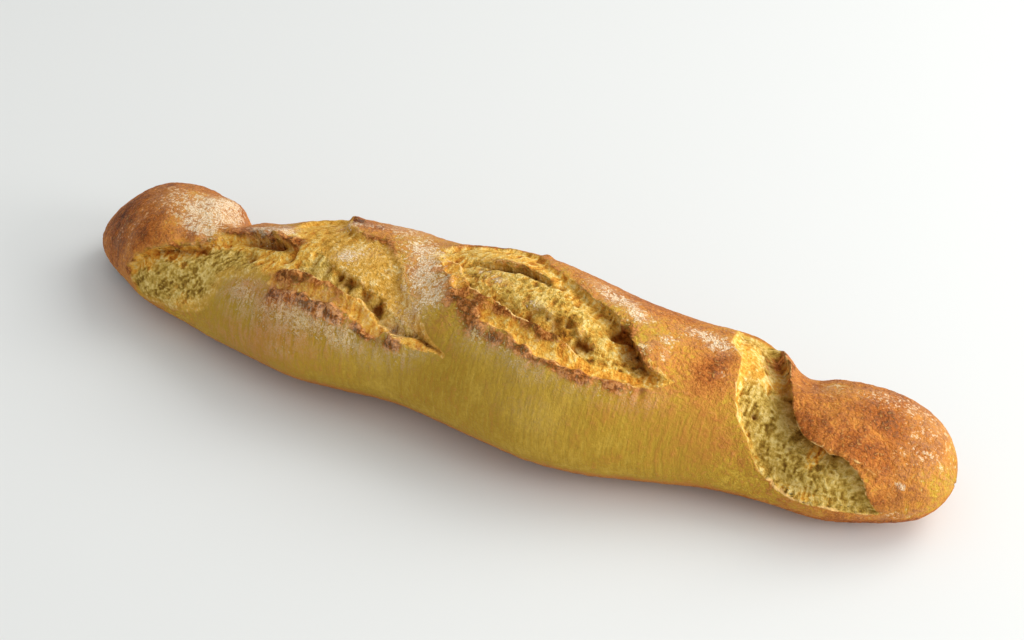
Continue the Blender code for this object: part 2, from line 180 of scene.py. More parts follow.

# Longer pockets, painted darker as shade, and ribs where the depth is less than 0: place, half width along
# and round, and depth.
POCKETS = (
    (-72, 12, 1.9, 4.4, 1.8), (-60, 18, 2.2, 3.8, 1.2), (-53, 22, 1.8, 3.4, 1.3), (-47, 25, 1.8, 3.2, 1.5),
    (-41, 29, 1.9, 3, 1.5), (-34, 32, 2.6, 3, 1.4), (-93, 15, 2.4, 2.2, 1.4), (-104, 12, 2, 2.4, 1.3),
    (-83, 22, 2, 2.8, 1.2), (-99, 18, 2.2, 2, 1), (-114, 27, 3.4, 1.4, 1.2), (30, 13, 3, 2.4, 1),
    (39, 16, 3, 3.6, 1.8), (50, 19, 2.6, 4, 1.8), (118, 36, 1, 3, 0.8), (-64, 13, 1.4, 3, -0.6),
    (-50, 22, 1.2, 3.6, -0.7), (-38, 28, 1.2, 3.2, -0.6), (-25, 37, 1.4, 4.5, -0.7), (62, 14, 2.6, 3, -1.6),
)
POCKET_GROWTH = 1.25  # the pockets are made this much larger, because their rims are soft
PIT_SHADE, POCKET_SHADE, CRACK_SHADE = 1.3, 1.1, 1.5  # how dark a painted shade each gets, for its depth
# the amount of painted gap shade that gives the darkest colour
DARKEST_GAP = 4.0

# Pores scattered over a patch: how many, its low and high corner, their radius and depth.
PORES = (
    (14, (100, 8), (120, 60), 1, 1), (10, (104, 50), (140, 90), 0.9, 0.8),
    (16, (-96, -20), (-60, 12), 1, 0.9), (12, (-48, -4), (-28, 24), 0.9, 0.7),
    (20, (-8, 0), (62, 20), 1.1, 1), (12, (66, 4), (80, 24), 1.1, 1), (6, (-136, 40), (-78, 90), 1, 0.6),
)
SMALLEST_PORE = 0.6  # of the radius
# how much darker pores are painted for their depth, as painted shade
PORE_SHADE = 0.6

# Ground of one kind between two chains of lines: the width of its border towards each, its share of open
# crumb, how golden it is, and the angle, stretch and size of its cells.
GROUNDS = (
    (("left_foot",), ("left_knob", "crag"), (7, 3), 0.6, 0.12, (52, 3, 1.8)),
    (("left_crest",), ("left_rim",), (0.8, 2), 0.5, 0.3, (84, 2.2, 3)),
    (("left_ledge",), ("left_rim",), (1.2, 2), 0.12, 0.25, (84, 1.5, 3)),
    (("left_scorch",), ("left_crest",), (1, 0.8), 0.15, 0.85, (95, 2.6, 2.6)),
    (("right_crest",), ("right_rim",), (0.8, 0.8), 0.6, 0.5, (80, 1.7, 2.6)),
    (("right_cave",), ("right_rim",), (1, 0.8), 0.35, 0.55, (86, 2.4, 3)),
    (("right_scorch",), ("right_crest",), (1, 0.8), 0.15, 0.85, (95, 2.6, 2.6)),
    (("right_edge",), ("right_knob",), (0.8, 0.8), 0.55, 0.08, (88, 3, 1.7)),
)
CELL_DEPTH = 0.34  # of a cell's size
CELL_WALL, CELL_BEND = 0.45, 0.35  # the cells' walls: how wide they are and how far they stray, in cells
LEAST_CELL = 0.25  # the depth of the shallowest cell, as a share of the deepest
MEAN_CELL = 0.7  # the part of a cell that is level with the ground
SKIN_STRANDS, CRUMB_STRANDS, STRAND_SHADE = 0.16, 0.1, 0.12  # how high strands are, and how much their ridges are painted lighter and furrows darker, as painted light and shade
CALM_WALL, CALM_SHARE = 0.75, 0.3  # the level of the cells' painted shade on smooth ground, and how much of the cells stays

# Soft round spots: x, angle, reach along, reach round and strength.
FLOUR = (
    (-124, -6, 12, 12, 1.1), (-118, -34, 10, 12, 0.8), (-118, 12, 8, 4, 0.8), (-141, -2, 8, 11, 0.5),
    (-151, -6, 9, 9, 0.3), (-149, 46, 4, 12, 0.45), (-158, 56, 3, 8, 0.5), (-92, -10, 9, 4.5, 1),
    (-83, -8, 5, 4, 0.7), (-90, -18, 9, 7, 0.7), (-89, 48, 9, 7, 0.45), (-80, 50, 9, 9, 0.55),
    (-58, 54, 12, 8, 0.45), (-62, 68, 30, 13, 0.19), (-84, -4, 8, 3.5, 0.8), (-48, 60, 13, 6, 0.2),
    (-37, 64, 6, 4, 0.6), (-61, 81, 6, 4, 0.3), (-12, 66, 6, 5, 0.45), (-5, 60, 5, 2, 0.5),
    (-50, 10, 5, 4, 0.9), (-44, 5, 7, 6, 0.5), (-57, -22, 9, 5, 0.8), (-40, -32, 12, 10, 0.75),
    (-27, -12, 9, 10, 0.8), (-19, 10, 7, 14, 0.9), (-11, 30, 6, 8, 0.75), (-17, 45, 6, 6, 0.55),
    (-6, 20, 4, 8, 0.5), (11, 2, 5, 3, 0.75), (29, 10, 5, 2, 0.7), (2, 0, 6, 4, 0.4), (44, -24, 9, 6, 0.75),
    (55, -16, 8, 6, 1), (64, -6, 5, 5, 0.9), (71, 15, 3, 3, 0.7), (76, 3, 4.5, 4, 0.85),
    (78, 15, 2.6, 2.6, 0.7), (84, -14, 8, 5, 0.9), (93, -6, 6, 5, 0.85), (15, 43, 10, 5, 0.4),
    (34, 45, 9, 4, 0.35), (131, -15, 7, 5, 0.55), (146, -16, 9, 5, 0.35), (156, -24, 11, 8, 0.4),
    (165, 61, 1.6, 1.6, 0.9), (165, 100, 12, 4, 0.5), (140, 10, 14, 14, 0.15), (98, 17, 3, 3, 0.4),
    # the last spot is a flour haze over the right end that also stands in for the sheen of light there:
    # flour, and partly painted sheen
    (40, 66, 14, 8, 0.15), (-100, 100, 40, 12, 0.1), (170, 0, 12, 30, 0.55),
)
BROWNING = (
    (-134, 42, 13, 8, 0.18), (-119, 22, 9, 5, 0.3), (-152, 20, 22, 45, 0.45), (-168, 60, 18, 40, 0.32),
    (-120, -60, 25, 30, 0.3), (-95, 85, 40, 26, 0.1), (-92, -5, 14, 7, 0.8), (-59, -31, 4, 4, 0.5),
    (82, -2, 24, 20, 0.26), (95, 16, 8, 9, 0.28), (84, 40, 20, 12, 0.12), (-50, -24, 14, 7, 0.4),
    (146, 5, 24, 45, 0.42), (165, 45, 16, 45, 0.26), (124, -5, 9, 20, 0.25), (60, -30, 30, 12, 0.15),
    (128, 42, 10, 8, 0.2), (30, -60, 80, 25, 0.3), (-60, -70, 50, 25, 0.25), (-66, 48, 12, 5, 0.3),
    (100, 62, 8, 14, 0.12), (-84, 44, 10, 4, 0.15), (-18, 12, 12, 16, 0.2), (-60, 75, 40, 14, 0.08),
)
GOLDEN = (
    (-139, 62, 7, 4, 0.8), (-124, 46, 9, 3, 0.5), (-102, 7, 7, 4, 1), (-71, 20, 5, 6, 0.9),
    (-66, 12, 4, 4, 0.8), (-85, 16, 7, 4, 0.6), (-76, 27, 7, 4, 0.8), (101, -12, 6, 10, 1),
    (112, -3, 4, 5, 0.8), (135, 49, 2.5, 6, 1), (66, 12, 5, 5, 0.6), (-12, -3, 5, 6, 0.7),
    (130, 88, 18, 5, 0.4), (-110, 82, 14, 8, 0.5), (24, -24, 18, 5, 0.6), (-80, -12, 16, 12, 0.7),
)
# Cells of double size.
COARSE = (
    (-71, 20, 7, 9, 0.8), (-85, 18, 8, 8, 0.9), (38, 14, 18, 7, 0.7), (62, 14, 9, 8, 0.7),
    (6, 2, 10, 8, 0.4),
)
# Dark scorched lumps on the lips, and how high they stand.
SCORCHES = (
    (-67, 31, 5, 2.4, 1), (-60, 33, 4, 1.8, 0.7), (-65, 44, 6, 2.4, 0.6), (-52, 47, 5, 2.4, 0.5),
    (-46, 51, 3.6, 2, 1), (-40, 53, 3, 2, 0.9), (-32, 55, 2.6, 2, 0.9), (-28, 57, 2.4, 1.8, 0.7),
    (-17, 59, 4, 2.4, 1.1), (9, 29, 4.5, 5, 0.8), (0, 20, 4, 5, 0.45), (22, 38, 7, 2.6, 0.8),
    (34, 39, 5, 2, 0.6), (47, 40, 5, 2, 0.7), (55, 41, 2.4, 2, 1.2), (66, 41, 3, 2, 0.7),
    (20, 21, 3.6, 1.8, 1), (39, 26, 5, 1.4, 0.7), (-72, 2, 4, 3, 0.8), (-85, -13, 7, 5, 0.7),
    (-62, 37, 12, 4, 0.4), (-46, 42, 9, 4, 0.35), (-33, 47, 7, 3, 0.3), (-66, 30, 9, 2.5, 0.5),
    (7, 21, 8, 3, 0.3), (10, -13, 12, 2, 0.45), (110, -36, 3, 12, 0.7), (116, -16, 2, 10, 0.5),
    (176, 72, 4, 3, 0.3),
)
SCORCH_HEIGHT = 0.5
# Closed skin where the ground is torn all round it.
SMOOTH = ((100, -16, 7, 14, 0.9), (106, -2, 6, 6, 0.6), (-101, 4, 9, 3.5, 0.8), (-136, 60, 8, 3, 0.6))

# Soft bands along lines: line, how far in front of it, half width and strength.
FLOUR_BANDS = (("left_scorch", 5, 6, 0.34), ("right_scorch", 3.5, 4.5, 0.3))
CREASES = (("left_scorch", 3, 6, 0.35), ("right_scorch", 3, 5, 0.3), ("left_foot", 6, 7, 0.3))

# Relief of the baked skin: its height and the size of its features.
SWELL, SWELL_SIZE = 0.28, 30.0
BLISTER, BLISTER_SIZE = 0.22, 2.8
GRAIN, GRAIN_SIZE = 0.16, 2.2
WRINKLE, WRINKLE_LENGTH, WRINKLE_WIDTH = 0.1, 12.0, 1.8
CREASE_LENGTH, CREASE_WIDTH = 5.0, 1.4
UPRIGHT = 88  # the angle of wrinkles and creases
SIDE_CALM = 0.6  # the share of the blisters that the sides lack

# Where the wrinkled sides begin and over how far, in degrees from the top, and where they end along X.
SIDE_ANGLE, SIDE_RISE = 20, 35
SIDE_END, SIDE_FADE = 122, 30

# How brown the pale sides are, and what the underside, the back and noise add.
PALE = 0.22
UNDER_BAKE, UNDER_ANGLE, UNDER_RISE = 0.34, 104, 14
BACK_BAKE, BACK_ANGLE, BACK_RISE = 0.12, 10, 50
BAKE_NOISE, BAKE_NOISE_SIZE = 0.08, 22.0

AROUND, ALONG = 222, 440  # points of the mesh
TIP_SHARE = 0.1  # the share of its rings over each rounded end
# Degrees round the loaf at these shares of the points, most of which are on the torn top.
ROUND_SHARES = (0.0, 0.13, 0.88, 1.0)
ROUND_ANGLES = (-180.0, -62.0, 112.0, 180.0)

SAMPLES = 8  # points on a line for each of its places
WIDE, CLOSE = 45.0, 5.0  # how far a line is felt, and how far its edge
FAR = 1e3
NOISE_TABLE = 256  # features after which noise repeats


def ease(t):
    """A smooth step from 0 to 1 as t goes from 0 to 1."""
    t = np.clip(t, 0.0, 1.0)
    return t * t * (3.0 - 2.0 * t)


def bell(t):
    """A soft hill: 1 at 0, and nearly 0 from 2 on."""
    return np.exp(-t ** 2)


def smooth_through(values, t):
    """Read, at t from 0 to 1, a smooth curve through evenly spaced values."""
    v = np.asarray(values, float)
    v = np.concatenate([[2 * v[0] - v[1]], v, [2 * v[-1] - v[-2]]])
    t = np.clip(t, 0.0, 1.0) * (len(values) - 1)
    i = np.minimum(t.astype(int), len(values) - 2)
    u = (t - i)[(...,) + (None,) * (v.ndim - 1)]
    a, b, c, d = v[i], v[i + 1], v[i + 2], v[i + 3]
    return b + 0.5 * u * (c - a + u * (2 * a - 5 * b + 4 * c - d + u * (3 * (b - c) + d - a)))


def noise(u, v, seed):
    """Smooth seeded noise over a plane, from -1 to 1, with features about 1 across."""
    table = np.random.default_rng(seed).uniform(-1.0, 1.0, (NOISE_TABLE, NOISE_TABLE))
    u0, v0 = np.floor(u), np.floor(v)
    fu, fv = ease(u - u0), ease(v - v0)
    i, j = u0.astype(int) % NOISE_TABLE, v0.astype(int) % NOISE_TABLE
    next_i, next_j = (i + 1) % NOISE_TABLE, (j + 1) % NOISE_TABLE
    low = table[i, j] * (1 - fu) + table[next_i, j] * fu
    high = table[i, next_j] * (1 - fu) + table[next_i, next_j] * fu
    return low * (1 - fv) + high * fv


def noise_along(u, seed):
    """The same noise along a line."""
    return noise(u, np.zeros_like(u), seed)


def cloud(at, size, seed, octaves):
    """Noise with finer noise on it; size is the coarsest feature, in millimetres."""
    total = np.zeros(len(at))
    for k in range(octaves):
        scale = 2.0 ** k / size
        total += noise(at[:, 0] * scale, at[:, 1] * scale, seed + k) / 2.0 ** k
    return total


def along_and_across(at, angle):
    """How far points lie along an angle on the crust, in degrees from X towards the back, and across."""
    c, s = math.cos(math.radians(angle)), math.sin(math.radians(angle))
    return at[:, 0] * c - at[:, 1] * s, at[:, 0] * s + at[:, 1] * c


def strands(at, angle, length, width, seed):
    """Noise drawn out along an angle on the crust."""
    along, across = along_and_across(at, angle)
    return noise(along / length, across / width, seed)


def walls(at, size, angle, stretch, seed):
    """Open cells drawn out along an angle: 1 on the walls between them, down to 0 in the deepest ones."""
    along, across = along_and_across(at, angle)
    spot = np.stack([along / stretch, across], -1) / size
    bend = np.stack([noise(spot[:, 0] * 1.3, spot[:, 1] * 1.3, seed + k) for k in (1, 2)], -1)
    spot = spot + CELL_BEND * bend
    table = np.random.default_rng(seed).uniform(0.0, 1.0, (NOISE_TABLE, NOISE_TABLE, 3))
    corner = np.floor(spot).astype(int)
    first, second, own = np.full(len(at), FAR), np.full(len(at), FAR), np.zeros(len(at))
    for i in (-1, 0, 1):
        for j in (-1, 0, 1):
            near = corner + (i, j)
            drawn = table[near[:, 0] % NOISE_TABLE, near[:, 1] % NOISE_TABLE]
            distance = np.linalg.norm(near + drawn[:, :2] - spot, axis=1)
            closer = distance < first
            second = np.where(closer, first, np.minimum(second, distance))
            own = np.where(closer, drawn[:, 2], own)
            first = np.where(closer, distance, first)
    inner = ease((second - first) / CELL_WALL)
    return 1.0 - inner * (LEAST_CELL + (1 - LEAST_CELL) * own)


def loaf_sizes(x):
    """The bow and half width of the loaf at x, and the share of its full section there."""
    bow, half_width = smooth_through(OUTLINE, x / LENGTH + 0.5).T
    tip = np.where(x < 0, LEFT_TIP, RIGHT_TIP)
    inward = np.clip((LENGTH / 2 - np.abs(x)) / tip, 0.0, 1.0)
    return bow, half_width, np.sqrt(1.0 - (1.0 - inward) ** 2)


def bare_loaf(x, angle):
    """The surface of the loaf without its slashes, angle in radians."""
    bow, half_width, share = loaf_sizes(x)
    rise = np.cos(angle)
    rise = np.where(rise < 0, rise * BELLY, rise)
    crown = CROWN * half_width
    z = crown * (BELLY + share * rise) - SAG
    return np.stack([x, bow - half_width * share * np.sin(angle), np.maximum(z, 0.0)], -1)


def outward(x, angle):
    """The direction that faces out of the bare loaf."""
    small = 1e-3
    along = bare_loaf(x + small, angle) - bare_loaf(x - small, angle)
    round_it = bare_loaf(x, angle + small) - bare_loaf(x, angle - small)
    normal = np.cross(round_it, along)
    return normal / (np.linalg.norm(normal, axis=-1, keepdims=True) + 1e-12)


def mean_radius(x):
    """Turns an angle at x, in radians, into millimetres of crust."""
    return loaf_sizes(x)[1] * (1 + CROWN) / 2


def flat_place(x, angle):
    """A place (x, degrees) as (x, millimetres round the loaf from the top line)."""
    x = np.asarray(x, float)
    return np.stack([x, np.radians(angle) * mean_radius(x)], -1)


def flat_path(places):
    """A smooth line of flat places through a few places on the crust, and the share of the way at each."""
    t = np.linspace(0.0, 1.0, (len(places) - 1) * SAMPLES + 1)
    x, angle = smooth_through(places, t).T
    return flat_place(x, angle), t


def flat_line(name):
    """A line's points as flat places, strayed from its smooth course if it is a torn edge."""
    line, t = flat_path(LINES[name])
    if name in LIPS:
        way = np.gradient(line, axis=0)
        length = np.hypot(way[:, 0], way[:, 1])
        far = np.cumsum(length)
        seed = 10 * list(LINES).index(name)
        stray = sum(size * noise_along(far / step, seed + k) for k, (step, size) in enumerate(RAGS))
        stray *= LIPS[name]["ragged"] * fade_at_ends(t, LIP_FADE)
        line += stray[:, None] * np.stack([-way[:, 1], way[:, 0]], -1) / length[:, None]
    return line


def measure(line, at, margin=WIDE):
    """Signed distance of each point from a line (positive in front), how far along it, and the way to it.

    Points beyond the margin only count as far away.
    """
    low, high = line.min(axis=0) - margin, line.max(axis=0) + margin
    near = np.all((at > low) & (at < high), axis=1)
    at_near = at[near]
    best, found = np.full(len(at_near), 1e9), np.zeros((len(at_near), 4))
    for k in range(len(line) - 1):
        start, step = line[k], line[k + 1] - line[k]
        to = at_near - start
        t = np.clip(to @ step / (step @ step), 0.0, 1.0)
        gap = to - t[:, None] * step
        distance = np.hypot(gap[:, 0], gap[:, 1])
        nearer = distance < best
        side = np.where(step[0] * to[:, 1] - step[1] * to[:, 0] < 0, -1.0, 1.0)
        best[nearer] = distance[nearer]
        away = side[:, None] * gap / (distance[:, None] + 1e-9)
        found[nearer] = np.column_stack([side * distance, (k + t) / (len(line) - 1), away])[nearer]
    result = np.tile((FAR, 0.0, 0.0, 0.0), (len(at), 1))
    result[near] = found
    return result[:, 0], result[:, 1], result[:, 2:]


def fade_at_ends(share, length):
    """1 along a line, and down to 0 over a share of it at each end."""
    return ease(share / length) * ease((1.0 - share) / length)


def settle_on_lines(at, spacing):
    """Move the points nearest to each lip into rows along its edge and its face, so that both are clean."""
    for name in LIPS:
        side, face = LIPS[name]["side"], LIPS[name]["face"]
        signed, share, away = measure(flat_line(name), at, CLOSE)
        into = signed * side
        rows = max(1, round(face / spacing))
        row = np.clip(np.round(into / face * rows), 0, rows) * face / rows
        close = (np.abs(row - into) < 0.5 * spacing) & (share > 0.0) & (share < 1.0)
        at = at + np.where(close, (row - into) * side, 0.0)[:, None] * away
    return at


class Crust:
    """The points of the crust: where each is, and how far from each line."""

    def __init__(self, at):
        self.at = at
        self.x = at[:, 0]
        self.angle = np.degrees(at[:, 1] / mean_radius(at[:, 0]))
        self.lines = {name: flat_line(name) for name in LINES}
        self.far = {name: measure(line, at) for name, line in self.lines.items()}

    def chain(self, names):
        return np.concatenate([self.lines[name] for name in names])

    def distance(self, names):
        return np.min([np.abs(self.far[name][0]) for name in names], axis=0)

    def between(self, front, back):
        """1 on the ground between two chains of lines, else 0."""
        outline = np.concatenate([self.chain(front), self.chain(back)[::-1]])
        crossings = np.zeros(len(self.at), int)
        for (x0, y0), (x1, y1) in zip(outline, np.roll(outline, -1, axis=0)):
            spans = (y0 > self.at[:, 1]) != (y1 > self.at[:, 1])
            height = y1 - y0 if y1 != y0 else 1e-9
            crossings += spans & (self.x < x0 + (self.at[:, 1] - y0) / height * (x1 - x0))
        return crossings % 2.0

    def soft_between(self, front, back, soft):
        """The same with a soft border, whose width is given towards the front line and the back one."""
        ground = 2 * self.between(front, back) - 1
        edge = np.minimum(self.distance(front) / soft[0], self.distance(back) / soft[1])
        return 0.5 + 0.5 * ground * ease(edge)

    def spots(self, spots):
        """The sum of soft round spots."""
        total = np.zeros(len(self.at))
        for x, angle, reach_x, reach_round, strength in spots:
            off = (self.at - flat_place(x, angle)) / (reach_x, reach_round)
            total += strength * np.exp(-(off ** 2).sum(axis=1))
        return total

    def bands(self, bands):
        """The sum of soft bands along lines."""
        total = np.zeros(len(self.at))
        for name, ahead, half_width, strength in bands:
            signed, share, _ = self.far[name]
            total += strength * fade_at_ends(share, BAND_FADE) * bell((signed - ahead) / half_width)
        return total

    def lip(self, name):
        """The height a lip adds, its slide of the crust, its painted gap shade, how dark and golden it is,
        and its painted highlight.
        """
        signed, share, away = self.far[name]
        lip = SimpleNamespace(**{size: smooth_through(value, share) if isinstance(value, tuple) else value
                                 for size, value in LIPS[name].items()})
        into = signed * lip.side
        behind = np.minimum(into, 0.0)
        ahead = np.maximum(into, 0.0)
        beyond = np.maximum(ahead - lip.face, 0.0)
        torn = ease(ahead / lip.face)
        step = share * (len(self.lines[name]) - 1)
        seed = 500 + list(LINES).index(name)

        uneven = 1.0 + UNEVEN_HEIGHT * noise_along(step / 3.0, seed)
        pleat = lip.pleats * noise(step * 0.6, behind / 6.0, seed + 50) * bell(behind / PLEAT_REACH)
        raised = (lip.height * uneven * bell(behind / lip.crust) + pleat) * (1.0 - torn)
        sunk = lip.gap * torn * bell(beyond / lip.reach)
        under = lip.hollow * np.sin(np.pi * np.clip(ahead / (2 * lip.face), 0.0, 1.0))

        # painted shade in the gap, darkest next to the torn face
        deep = sunk * (OPEN_SHADE + (1 - OPEN_SHADE) * bell(beyond / SHADE_REACH))
        patchy = LEAST_TOAST + (1 - LEAST_TOAST) * ease(0.5 + 1.2 * noise_along(step / 5.0, seed + 95))
        wide = lip.burnt * (1.0 + UNEVEN_BURNT * noise_along(step / 2.0, seed + 90))
        dark = lip.toast * patchy * bell(behind / wide) * (1.0 - torn)
        golden = lip.gilt * bell(beyond / GILT_REACH) * ease(ahead / 0.4)
        # a painted highlight along the edge itself
        bright = lip.bright * bell(into / HIGHLIGHT_REACH) * ease(0.5 + noise_along(step / 1.5, seed + 70))

        fade = fade_at_ends(share, LIP_FADE)
        slide = -(fade * under * lip.side)[:, None] * away
        return fade * (raised - sunk), slide, [fade * kind for kind in (deep, dark, golden, bright)]


def lip_relief(crust):
    """Height and slide of all lips together, their painted gap shade, how burnt and golden they make the
    crust, and their painted highlight.
    """
    heights, slides, looks = zip(*(crust.lip(name) for name in LIPS))
    deep, *others = zip(*looks)
    return sum(heights), sum(slides), (sum(deep), *(np.max(other, axis=0) for other in others))


def broad_relief(crust):
    """Height of the openings and of the broad hollows."""
    height = np.zeros(len(crust.at))
    for front, back, depth, front_slope, back_slope in OPENINGS:
        slope = ease(crust.distance(front) / front_slope) * ease(crust.distance(back) / back_slope)
        height -= depth * crust.between(front, back) * slope
    for name, (depth, half_width) in HOLLOWS.items():
        signed, share, _ = crust.far[name]
        height -= depth * fade_at_ends(share, BROAD_FADE) * bell(signed / half_width)
    return height


def dent_relief(crust):
    """Height of the pits, pockets and cracks, and the painted shade that darkens them."""
    height, deep = np.zeros(len(crust.at)), np.zeros(len(crust.at))
    dents = [(x, angle, radius, radius, depth, PIT_SHADE) for x, angle, radius, depth in PITS]
    for x, angle, *sizes in POCKETS:
        dents.append((x, angle, *(POCKET_GROWTH * size for size in sizes), POCKET_SHADE))
    for x, angle, along, round_it, depth, shade in dents:
        off = (crust.at - flat_place(x, angle)) / (along, round_it)
        dent = depth * (1.0 - ease(np.linalg.norm(off, axis=1)))
        height -= dent
        deep += shade * np.maximum(dent, 0.0)
    for places, depth, half_width in CRACKS:
        line, _ = flat_path(places)
        signed, share, _ = measure(line, crust.at, CLOSE)
        crack = depth * fade_at_ends(share, BROAD_FADE) * bell(signed / half_width)
        height -= crack
        deep += CRACK_SHADE * crack
    return height, deep


def pores(at, count, low, high, radius, depth, seed):
    """Height of small round pits scattered over a patch from low to high."""
    rng = np.random.default_rng(seed)
    height = np.zeros(len(at))
    for _ in range(count):
        x, angle = rng.uniform(low, high)
        size = rng.uniform(SMALLEST_PORE, 1.0) * radius
        centre = flat_place(x, angle)
        close = np.abs(at[:, 0] - centre[0]) < 2 * size
        distance = np.linalg.norm(at[close] - centre, axis=1)
        height[close] -= depth * (1.0 - ease(distance / size))
    return height


def torn_ground(crust):
    """The open ground: its share at each point, its crumb and gold, the painted shade of its cells and
    pores, and its relief.
    """
    at = crust.at
    ground, crumb, golden, wall, height = layers = np.zeros((5, len(at)))
    wall += MEAN_CELL
    coarse = np.clip(crust.spots(COARSE), 0.0, 1.0)
    for k, (front, back, border, crumb_share, golden_share, (angle, stretch, size)) in enumerate(GROUNDS):
        here = crust.soft_between(front, back, border)
        mine = here > 0
        share = here[mine]
        large = walls(at[mine], 2.0 * size, angle, stretch, 400 + 10 * k)
        small = walls(at[mine], size, angle + 10, stretch, 405 + 10 * k)
        drawn = strands(at[mine], angle, 3.0 * size, 1.3, 300 + k)
        cells = small + (large - small) * coarse[mine] - MEAN_CELL
        depth = CELL_DEPTH * size * (1.0 + coarse[mine])
        relief = crumb_share * depth * cells + (SKIN_STRANDS + CRUMB_STRANDS * crumb_share) * drawn
        # cells painted lighter on their walls and darker in their hollows, as painted light and shade
        shown = MEAN_CELL + crumb_share ** 0.5 * cells + STRAND_SHADE * drawn
        for old, new in zip(layers, (1.0, crumb_share, golden_share, shown, relief)):
            old[mine] = old[mine] * (1 - share) + new * share
    torn = np.clip(1.0 - crust.spots(SMOOTH), 0.0, 1.0)
    kept = CALM_SHARE + (1 - CALM_SHARE) * torn
    crumb = crumb * torn
    wall = CALM_WALL + (wall - CALM_WALL) * kept
    height = height * kept
    for k, (pore_count, low, high, radius, depth) in enumerate(PORES):
        # pores sink, and are painted darker as shade
        pit = crumb * pores(at, pore_count, low, high, radius, depth, 80 + k)
        height += pit
        wall += PORE_SHADE * pit
    return ground, crumb, golden, wall, height


def skin_relief(crust, ground, side):
    """The baked skin: broad unevenness, small blisters, and shallow wrinkles down the sides."""
    at = crust.at
    blisters = BLISTER * walls(at, BLISTER_SIZE, 80, 1.0, 66) + GRAIN * cloud(at, GRAIN_SIZE, 65, 2)
    wrinkles = WRINKLE * side * strands(at, UPRIGHT, WRINKLE_LENGTH, WRINKLE_WIDTH, 63)
    creases = crust.bands(CREASES) * strands(at, UPRIGHT, CREASE_LENGTH, CREASE_WIDTH, 64)
    fine = (1 - SIDE_CALM * side) * blisters + wrinkles + creases
    return SWELL * cloud(at, SWELL_SIZE, 61, 2) + (1 - ground) * fine


def side_share(crust):
    """1 on the wrinkled sides of the loaf's middle, 0 on its top and its knobs."""
    round_it = ease((np.abs(crust.angle) - SIDE_ANGLE) / SIDE_RISE)
    return round_it * ease((SIDE_END - np.abs(crust.x)) / SIDE_FADE)


def bake(crust):
    """How brown the crust is, from 0 for pale gold to 1 for dark brown."""
    under = UNDER_BAKE * ease((np.abs(crust.angle) - UNDER_ANGLE) / UNDER_RISE)
    behind = BACK_BAKE * ease((-crust.angle - BACK_ANGLE) / BACK_RISE)
    uneven = BAKE_NOISE * cloud(crust.at, BAKE_NOISE_SIZE, 90, 3)
    return PALE + under + behind + crust.spots(BROWNING) + uneven


def full_relief(crust):
    """Height and slide of the whole surface, and the fields that its material reads."""
    height, slide, (deep, burnt, gilt, bright) = lip_relief(crust)
    dent_height, dent_painted_shade = dent_relief(crust)
    ground, crumb, golden, wall, torn_height = torn_ground(crust)
    side = side_share(crust)
    scorches = crust.spots(SCORCHES)
    height += broad_relief(crust) + dent_height + torn_height + skin_relief(crust, ground, side)
    height += SCORCH_HEIGHT * scorches
    # The fields include painted shade in gaps and crumb cells, and a painted highlight along the lip edges.
    fields = dict(
        ground=ground, crumb=crumb, wall=wall, bright=bright, side=side, toast=burnt + scorches,
        golden=np.maximum(golden, gilt) + crust.spots(GOLDEN) * (ground > 0.05), bake=bake(crust),
        deep=(deep + dent_painted_shade) / DARKEST_GAP, flour=crust.spots(FLOUR) + crust.bands(FLOUR_BANDS))
    return height, slide, {name: np.clip(field, 0.0, 1.0) for name, field in fields.items()}


def spread_along(t):
    """x for an even spread, from 0 to 1, of rings along the loaf and over its rounded ends."""
    tip = np.where(t < 0.5, LEFT_TIP, RIGHT_TIP)
    turn = np.pi / 2 * np.clip(np.minimum(t, 1 - t) / TIP_SHARE, 0.0, 1.0)
    straight = np.interp(t, (TIP_SHARE, 1 - TIP_SHARE), (LEFT_TIP - LENGTH / 2, LENGTH / 2 - RIGHT_TIP))
    return straight + np.sign(t - 0.5) * tip * np.cos(turn)


def shape_loaf(directions):
    """Places of the loaf's surface, and the material's fields, for points of a ball whose axis is X."""
    t = 1.0 - np.arccos(np.clip(directions[:, 0], -1.0, 1.0)) / np.pi
    x = spread_along(t)
    turn = np.arctan2(-directions[:, 1], directions[:, 2]) / (2 * np.pi) + 0.5
    angle = np.radians(np.interp(turn, ROUND_SHARES, ROUND_ANGLES))
    at = settle_on_lines(np.stack([x, angle * mean_radius(x)], -1), LENGTH / ALONG)
    height, slide, fields = full_relief(Crust(at))
    direction = outward(at[:, 0], at[:, 1] / mean_radius(at[:, 0]))
    moved = at + slide
    bare = bare_loaf(moved[:, 0], moved[:, 1] / mean_radius(moved[:, 0]))
    places = bare + height[:, None] * direction
    places[:, 2] = np.maximum(places[:, 2], 0.0)
    fields["place"] = np.concatenate([at, np.zeros((len(at), 1))], axis=1)
    return places, fields


def fit_in(places, low, high):
    """Moves the loaf to the middle of the solid's box, and shrinks it a hair where it stands out of it."""
    places[:, 1] -= (places[:, 1].min() + places[:, 1].max()) / 2
    for axis in range(3):
        over = max(places[:, axis].max() / high[axis], 1.0)
        if low[axis] < 0:
            over = max(places[:, axis].min() / low[axis], over)
        places[:, axis] /= over
    return places


